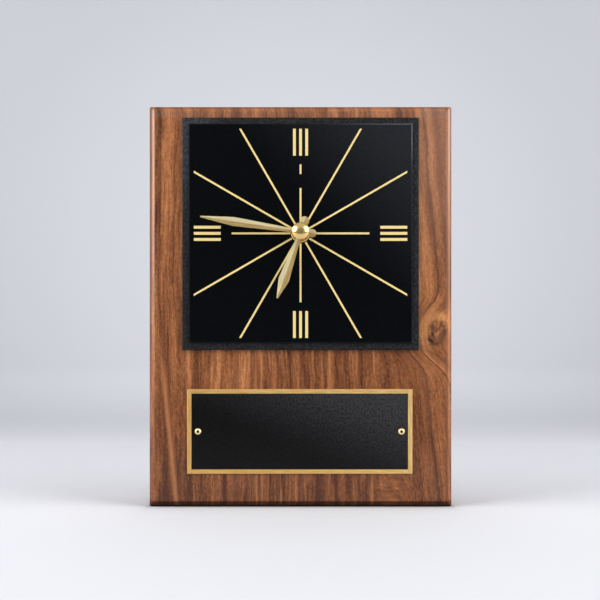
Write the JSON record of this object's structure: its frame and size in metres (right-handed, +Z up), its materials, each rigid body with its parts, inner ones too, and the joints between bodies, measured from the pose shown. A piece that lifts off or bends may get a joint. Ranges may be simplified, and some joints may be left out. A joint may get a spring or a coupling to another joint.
{
  "type": "wooden desk clock",
  "caption": "Free-standing walnut board clock with a square black dial, gold rays and hands, a bare engraving plate below and a battery quartz movement in a pocket at the back.",
  "frame": {"origin": "centre of the base face, on the surface the clock stands on", "axes": "+Z up, -Y out of the dial towards the reader, +X to the reader's right"},
  "size_m": [0.1536, 0.0452, 0.2032],
  "materials": {
    "walnut": "oiled walnut, satin",
    "black_texture": "matt black, fine pebble texture",
    "dial_black": "satin black lacquer",
    "gold": "gold lacquered, satin",
    "polished_brass": "polished",
    "plate_brass": "fine brushed",
    "enamel": "black enamel, satin",
    "rubber": "matt",
    "case_plastic": "moulded, fine grain",
    "cover_plastic": "moulded, fine grain",
    "gear_plastic": "natural acetal",
    "steel": "plain",
    "spring_brass": "rolled strip",
    "magnet": "sintered, dark grey",
    "bobbin_plastic": "moulded, green",
    "copper": "enamelled wire",
    "circuit": "solder mask",
    "resin": "poured resin",
    "can": "drawn can",
    "cell": "printed sleeve, plain"
  },
  "bodies": {
    "clock_body": {"walnut_board": "walnut", "dial_backing": "black_texture", "dial_plate": "dial_black", "hour_markers": "gold", "engraving_plate": "plate_brass", "plate_enamel": "enamel", "plate_pins": "polished_brass", "nut_washer": "polished_brass", "mounting_nut": "polished_brass", "threaded_bush": "polished_brass", "rubber_washer": "rubber", "movement_case": "case_plastic", "movement_cover": "cover_plastic", "train_bridge": "gear_plastic", "bridge_screws": "steel", "stator": "steel", "coil_core": "steel", "coil_bobbin": "bobbin_plastic", "coil_winding": "copper", "stator_screws": "steel", "circuit_board": "circuit", "quartz_crystal": "can", "circuit_chip": "resin", "positive_contact": "spring_brass", "negative_contact": "spring_brass", "battery_cell": "cell"},
    "hour_group": {"hour_hand": "gold", "hour_wheel": "gear_plastic"},
    "minute_group": {"minute_hand": "gold", "cap_nut": "polished_brass", "minute_arbor": "steel", "clutch_spring": "steel"},
    "motion_work": {"motion_wheel": "gear_plastic"},
    "setting_group": {"setting_arbor": "gear_plastic", "setting_knob": "case_plastic"},
    "centre_group": {"centre_wheel": "gear_plastic"},
    "third_group": {"third_wheel": "gear_plastic"},
    "seconds_group": {"seconds_wheel": "gear_plastic"},
    "intermediate_group": {"intermediate_wheel": "gear_plastic"},
    "rotor_group": {"rotor_pinion": "gear_plastic", "rotor_magnet": "magnet"}
  },
  "joints": [
    {"name": "minute_turn", "type": "hinge", "parent": "clock_body", "child": "minute_group", "pos_m": [0, 0, 0.138], "axis": [0, 1, 0], "continuous": true},
    {"name": "hour_turn", "type": "hinge", "parent": "clock_body", "child": "hour_group", "pos_m": [0, 0, 0.138], "axis": [0, 1, 0], "continuous": true},
    {"name": "motion_turn", "type": "hinge", "parent": "clock_body", "child": "motion_work", "pos_m": [0.00996, 0, 0.13713], "axis": [0, 1, 0], "continuous": true},
    {"name": "setting_turn", "type": "hinge", "parent": "clock_body", "child": "setting_group", "pos_m": [0.01936, 0, 0.14055], "axis": [0, 1, 0], "continuous": true},
    {"name": "intermediate_turn", "type": "hinge", "parent": "clock_body", "child": "intermediate_group", "pos_m": [-0.01064, 0, 0.13988], "axis": [0, 1, 0], "continuous": true},
    {"name": "rotor_turn", "type": "hinge", "parent": "clock_body", "child": "rotor_group", "pos_m": [-0.01216, 0, 0.14849], "axis": [0, 1, 0], "continuous": true},
    {"name": "seconds_turn", "type": "hinge", "parent": "clock_body", "child": "seconds_group", "pos_m": [0, 0, 0.138], "axis": [0, 1, 0], "continuous": true},
    {"name": "third_turn", "type": "hinge", "parent": "clock_body", "child": "third_group", "pos_m": [0.00369, 0, 0.14815], "axis": [0, 1, 0], "continuous": true},
    {"name": "centre_turn", "type": "hinge", "parent": "clock_body", "child": "centre_group", "pos_m": [0, 0, 0.138], "axis": [0, 1, 0], "continuous": true}
  ],
  "couplings": [
    {"joint": "motion_turn", "follows": "minute_turn", "ratio": -0.33333},
    {"joint": "hour_turn", "follows": "minute_turn", "ratio": 0.083333},
    {"joint": "setting_turn", "follows": "minute_turn", "ratio": 1},
    {"joint": "rotor_turn", "follows": "intermediate_turn", "ratio": -6},
    {"joint": "seconds_turn", "follows": "intermediate_turn", "ratio": -0.2},
    {"joint": "third_turn", "follows": "intermediate_turn", "ratio": 0.026667},
    {"joint": "centre_turn", "follows": "intermediate_turn", "ratio": -0.0033333}
  ]
}
